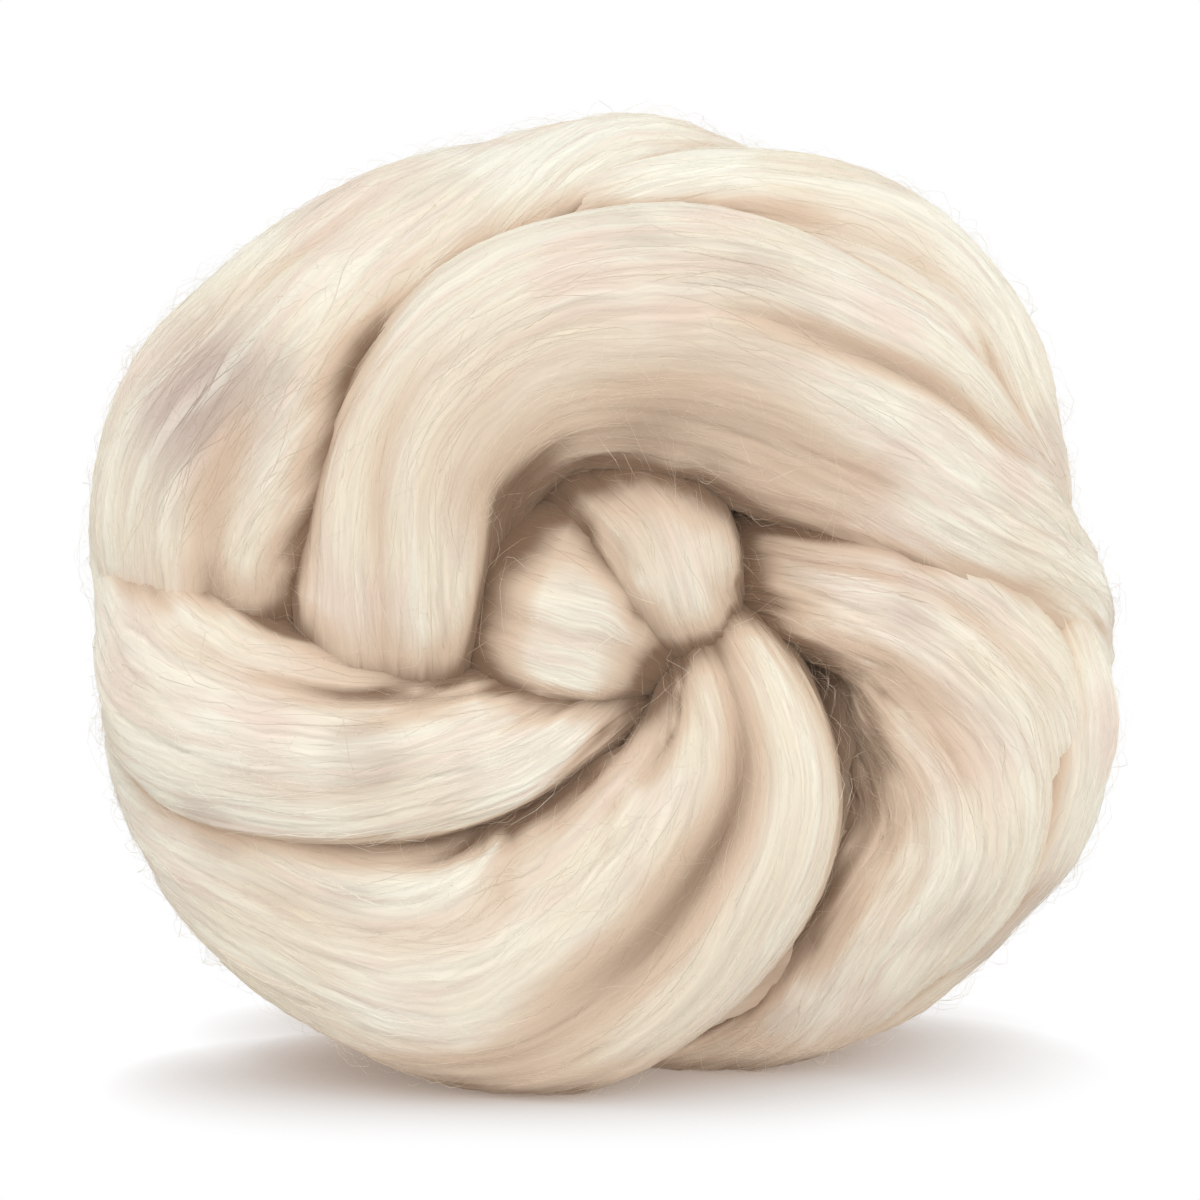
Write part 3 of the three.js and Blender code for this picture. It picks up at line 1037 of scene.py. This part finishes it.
def combed_wool(colours):
    """Undyed sheep's wool, combed so that its fibres lie side by side, and not spun.

    Thousands of crimped fibres lie along the strand in fine, uneven streaks. Each streak
    is a lock's own cream, fawn, rose or grey, and it catches light on its raised side. The
    wool is matt, and its hollows are painted warmer and darker: painted shade where other
    turns hide the light, warm because the light that reaches them comes off more wool.
    Real fibres are too fine to show, so the finest streak is a bundle 0.45 mm across.
    """
    material = empty_material("combed_wool")
    tree = material.node_tree
    place = add(tree, "ShaderNodeTexCoord").outputs["Object"]
    wander, crimp = (
        add(tree, "ShaderNodeTexNoise", {"Vector": place, "Scale": 1 / size, "Detail": 1.0})
        for size in (WANDER_SIZE, CRIMP_SIZE)
    )
    shift = add(tree, "ShaderNodeMapRange", {0: wander.outputs[0], 3: -WANDER, 4: WANDER})
    waved = add(
        tree,
        "ShaderNodeMath",
        {0: crimp.outputs[0], 1: CRIMP, 2: shift.outputs[0]},
        operation="MULTIPLY_ADD",
    )
    aside = add(tree, "ShaderNodeCombineXYZ", {"Y": waved.outputs[0]})
    fibre = add(tree, "ShaderNodeUVMap", uv_map="fibre_mm")
    combed_place = add(
        tree, "ShaderNodeVectorMath", {0: fibre.outputs[0], 1: aside.outputs[0]}, operation="ADD"
    ).outputs[0]

    def streaks(length, width, detail):
        """Noise stretched along the fibres, its patches so many millimetres by so many."""
        scaled = add(
            tree,
            "ShaderNodeVectorMath",
            {0: combed_place, 1: (1 / length, 1 / width, 1)},
            operation="MULTIPLY",
        )
        return add(
            tree,
            "ShaderNodeTexNoise",
            {"Vector": scaled.outputs[0], "Scale": 1.0, "Detail": detail, "Roughness": 0.6},
            noise_dimensions="2D",
        ).outputs[0]

    colour = lock_colour(tree, colours)
    # A row is a streak's tint, its length, width and detail, then its low, high and most.
    layers = (
        (colours.cream, (44, 3.2, 1.0), 0.48, 0.68, 0.55),
        (colours.rose, (34, 2.0, 1.0), 0.52, 0.70, 0.50),
        (colours.grey, (26, 1.3, 2.0), 0.55, 0.73, 0.25),
    )
    for tint, streak, low, high, most in layers:
        colour = tinted(tree, colour, tint, streaks(*streak), low, high, most, "LINEAR")
    fine = streaks(15, 0.45, 3.0)
    darkest, palest = UNEVEN
    shade = add(
        tree, "ShaderNodeMapRange", {0: fine, 1: 0.25, 2: 0.75, 3: darkest, 4: palest}
    )
    shaded = add(tree, "ShaderNodeHueSaturation", {"Value": shade.outputs[0], "Color": colour})
    bundles = add(
        tree,
        "ShaderNodeBump",
        {"Strength": 0.5, "Distance": 0.5 * MM, "Height": streaks(22, 1.1, 2.0)},
    )
    fibres = add(
        tree,
        "ShaderNodeBump",
        {"Strength": 0.6, "Distance": 0.22 * MM, "Height": fine, "Normal": bundles.outputs[0]},
    )
    # painted shade in the hollows, warm and dark where other turns hide the light
    wool_surface(tree, with_painted_shade(tree, shaded.outputs[0], colours, 0.85), fibres.outputs[0])
    return material


def wool_fibres(colours):
    """Single fibres and small bundles of the same wool, lying or standing on its surface.

    Each has its own tint all along, a little paler or darker than the wool under it, and
    painted shade where it lies in a hollow. They are drawn thicker than real fibres, so
    that they show.
    """
    material = empty_material("wool_fibres")
    tree = material.node_tree
    tint = add(tree, "ShaderNodeAttribute", attribute_name="tint").outputs["Fac"]
    darkest, palest = FIBRE_UNEVEN
    shade = add(tree, "ShaderNodeMapRange", {0: tint, 3: darkest, 4: palest})
    shaded = add(
        tree,
        "ShaderNodeHueSaturation",
        {"Value": shade.outputs[0], "Color": lock_colour(tree, colours)},
    )
    # painted shade in the hollows, as on the wool's skin
    wool_surface(tree, with_painted_shade(tree, shaded.outputs[0], colours, 0.8))
    return material


SHADOW_REACH = 28 * MM  # how far the nest's soft shadow goes on the floor
PAINTED_SHADOW_AIM = (0.28, -0.71, 0.65)  # the painted shadow looks for the nest along this way, where most of the floor's light would come from: right, front and up


def plain_floor(half_shadow, shadow):
    """A pale card that glows evenly pure white, with a warm grey shadow painted close under
    the nest.

    Where the nest hides much of the card's view towards the light within the shadow's
    reach, the painted shadow darkens it.
    """
    material = empty_material("pale_card")
    tree = material.node_tree
    towards = add(tree, "ShaderNodeCombineXYZ", dict(enumerate(PAINTED_SHADOW_AIM))).outputs[0]
    view = add(
        tree,
        "ShaderNodeAmbientOcclusion",
        {"Distance": SHADOW_REACH, "Normal": towards},
        samples=16,
    ).outputs["AO"]
    # painted shadow: the glow turns warm grey, then darker, where the nest hides the card's view
    colour = tinted(tree, (1, 1, 1, 1), half_shadow, view, 1.0, 0.45, change="LINEAR")
    colour = tinted(tree, colour, shadow, view, 0.45, 0.0, change="LINEAR")
    glow = add(tree, "ShaderNodeEmission", {"Color": colour, "Strength": 1.0})
    add(tree, "ShaderNodeOutputMaterial", {"Surface": glow.outputs[0]})
    return material


# ---------------------------------------------------------------------------------- stage

NEST_MIDDLE = (-0.9 * MM, -1.1 * MM, 76.5 * MM)  # what the camera and the lights look at
KEY_PLACE = (0.05, -0.85, 1.25)  # the lights' places and the floor's reach are in metres
KEY_WIDTH = math.radians(50)
FRONT_PLACE = (0.15, -1.2, 0.40)
FRONT_WIDTH = math.radians(40)
FLOOR_REACH = 6.0
SENSOR_WIDTH = 36  # millimetres, as the lens is
BELOW = (-0.6, -0.1)  # the heights between which the ground's light becomes the sides'
ABOVE = (0.15, 0.65)  # and the sides' becomes the sky's


def floor_object(reach, material):
    """A level square of floor centred under the nest."""
    corners = np.array([(-1, -1, 0), (1, -1, 0), (1, 1, 0), (-1, 1, 0)]) * reach / MM
    made = mesh_object("floor", corners.astype(float), (np.array([[0, 1, 2, 3]]),))
    made.data.materials.append(material)
    made.visible_diffuse = False  # the surround gives the light from below instead
    made.visible_shadow = False
    return made


def aimed(data, name, place):
    """Adds a light or camera at a place, its -Z axis towards the nest and +Y upward."""
    made = bpy.data.objects.new(name, data)
    made.location = place
    way = Vector(NEST_MIDDLE) - Vector(place)
    made.rotation_euler = way.to_track_quat("-Z", "Y").to_euler()
    bpy.context.scene.collection.objects.link(made)
    return made


def soft_sun(name, power, width, place):
    """A distant light of a given angular width."""
    data = bpy.data.lights.new(name, "SUN")
    data.energy = power
    data.angle = width
    return aimed(data, name, place)


def white_surround(stage):
    """A world that is white to look at, and gives more light from the sides.

    A way's light depends on its height alone: the ground's below, the sides' at the
    horizon and the sky's above, with a smooth change between each.
    """
    world = bpy.data.worlds.new("surround")
    world.use_nodes = True
    tree = world.node_tree
    tree.nodes.clear()
    way = add(tree, "ShaderNodeTexCoord").outputs["Generated"]
    height = add(tree, "ShaderNodeSeparateXYZ", {0: way}).outputs["Z"]
    colour = opaque(c * stage.ground for c in stage.ground_tint)
    colour = tinted(tree, colour, [stage.sides] * 3, height, *BELOW)
    colour = tinted(tree, colour, [stage.sky] * 3, height, *ABOVE)
    seen = add(tree, "ShaderNodeBackground", {"Color": (1, 1, 1, 1), "Strength": 1.0})
    lit = add(tree, "ShaderNodeBackground", {"Color": colour, "Strength": 1.0})
    path = add(tree, "ShaderNodeLightPath")
    mixed = add(
        tree,
        "ShaderNodeMixShader",
        {0: path.outputs["Is Camera Ray"], 1: lit.outputs[0], 2: seen.outputs[0]},
    )
    add(tree, "ShaderNodeOutputWorld", {"Surface": mixed.outputs[0]})
    bpy.context.scene.world = world


# ------------------------------------------------------------------------------ operators

WOUND = {}  # the wound pieces' surfaces, kept between operators
LAID_STREAM = 100  # with the seed and a turn's number, picks its fibres' random draws
STRAY_STREAM = 200  # and its hairs'


def material_of(make, name):
    """The material of a name, made the first time it is asked for."""
    return bpy.data.materials.get(name) or make(bpy.context.scene.wool_colours)


def wound_surfaces():
    """All the wound pieces' surfaces, worked out the first time they are asked for."""
    sizes = bpy.context.scene.nest_sizes
    if not WOUND:
        for index, name in enumerate((*TURNS, *UNDER)):
            WOUND[name] = wound_surface(name, sizes, np.random.default_rng((sizes.seed, index)))
        find_gaps_and_painted_shade(WOUND)
    return WOUND


def cover_turns(prefix, make, total, stream):
    """Makes one piece of fibres for each turn, shared out by how much of its skin shows."""
    scene = bpy.context.scene
    surfaces = {name: wound_surfaces()[name] for name in TURNS}
    whole = sum(open_share(surface) for surface in surfaces.values())
    for index, (name, surface) in enumerate(surfaces.items()):
        rng = np.random.default_rng((scene.nest_sizes.seed, stream + index))
        count = round(total * open_share(surface) / whole)
        lines, ups, hollow_shade, radii = make(surface, count, scene.fibre_sizes, rng)
        made = fibre_object(prefix + name, lines, ups, hollow_shade, radii, rng)
        register_piece(made, material_of(wool_fibres, "wool_fibres"))


class ROVING_OT_wind(bpy.types.Operator):
    """Makes the wound turns, the knob and the wool under them"""

    bl_idname = "roving.wind"
    bl_label = "Wind the turns"

    def execute(self, context):
        WOUND.clear()
        for surface in wound_surfaces().values():
            register_piece(wound_object(surface), material_of(combed_wool, "combed_wool"))
        return {"FINISHED"}


class ROVING_OT_lay(bpy.types.Operator):
    """Lays fibres along the turns, as one piece for each turn"""

    bl_idname = "roving.lay"
    bl_label = "Lay the fibres"

    def execute(self, context):
        cover_turns("fibres_", laid_fibres, context.scene.fibre_sizes.laid_count, LAID_STREAM)
        return {"FINISHED"}


class ROVING_OT_raise(bpy.types.Operator):
    """Raises stray hairs off the turns, as one piece for each turn"""

    bl_idname = "roving.raise_hairs"
    bl_label = "Raise stray hairs"

    def execute(self, context):
        cover_turns("hairs_", stray_hairs, context.scene.fibre_sizes.stray_count, STRAY_STREAM)
        return {"FINISHED"}


class ROVING_OT_stage(bpy.types.Operator):
    """Sets the floor, the soft lights, the white surround and the camera"""

    bl_idname = "roving.stage"
    bl_label = "Set the stage"

    def execute(self, context):
        stage = context.scene.stage_sizes
        floor = floor_object(FLOOR_REACH, plain_floor(stage.half_shadow, stage.floor_shadow))
        key = soft_sun("key_light", stage.key_power, KEY_WIDTH, KEY_PLACE)
        front = soft_sun("front_light", stage.front_power, FRONT_WIDTH, FRONT_PLACE)
        white_surround(stage)
        direction = np.array((0, -math.cos(stage.elevation), math.sin(stage.elevation)))
        data = bpy.data.cameras.new("camera")
        data.lens = stage.lens
        data.sensor_width = SENSOR_WIDTH
        camera = aimed(data, "camera", NEST_MIDDLE + direction * stage.distance)
        context.scene.camera = camera
        context.scene.view_settings.view_transform = "Standard"
        return {"FINISHED"}


class ROVING_PT_sidebar(bpy.types.Panel):
    """The roving's tools in the 3D view's sidebar"""

    bl_label = "Roving"
    bl_space_type = "VIEW_3D"
    bl_region_type = "UI"
    bl_category = "Roving"

    def draw(self, context):
        for group in ("nest_sizes", "fibre_sizes", "wool_colours", "stage_sizes"):
            column = self.layout.column(align=True)
            settings = getattr(context.scene, group)
            for prop in settings.bl_rna.properties:
                if prop.identifier not in ("rna_type", "name"):
                    column.prop(settings, prop.identifier)
        for operator in (ROVING_OT_wind, ROVING_OT_lay, ROVING_OT_raise, ROVING_OT_stage):
            self.layout.operator(operator.bl_idname)


GROUPS = {
    "nest_sizes": NestSizes,
    "fibre_sizes": FibreSizes,
    "wool_colours": WoolColours,
    "stage_sizes": StageSizes,
}
OTHERS = (ROVING_OT_wind, ROVING_OT_lay, ROVING_OT_raise, ROVING_OT_stage, ROVING_PT_sidebar)


def register():
    """Registers the settings, the tools and the panel."""
    for name, group in GROUPS.items():
        bpy.utils.register_class(group)
        setattr(bpy.types.Scene, name, PointerProperty(type=group))
    for other in OTHERS:
        bpy.utils.register_class(other)


def unregister():
    """Takes away what register added."""
    for other in reversed(OTHERS):
        bpy.utils.unregister_class(other)
    for name, group in reversed(GROUPS.items()):
        delattr(bpy.types.Scene, name)
        bpy.utils.unregister_class(group)


def main():
    """Makes the nest and its stage."""
    register()
    bpy.ops.roving.wind()
    bpy.ops.roving.lay()
    bpy.ops.roving.raise_hairs()
    bpy.ops.roving.stage()


if __name__ == "__main__":
    main()
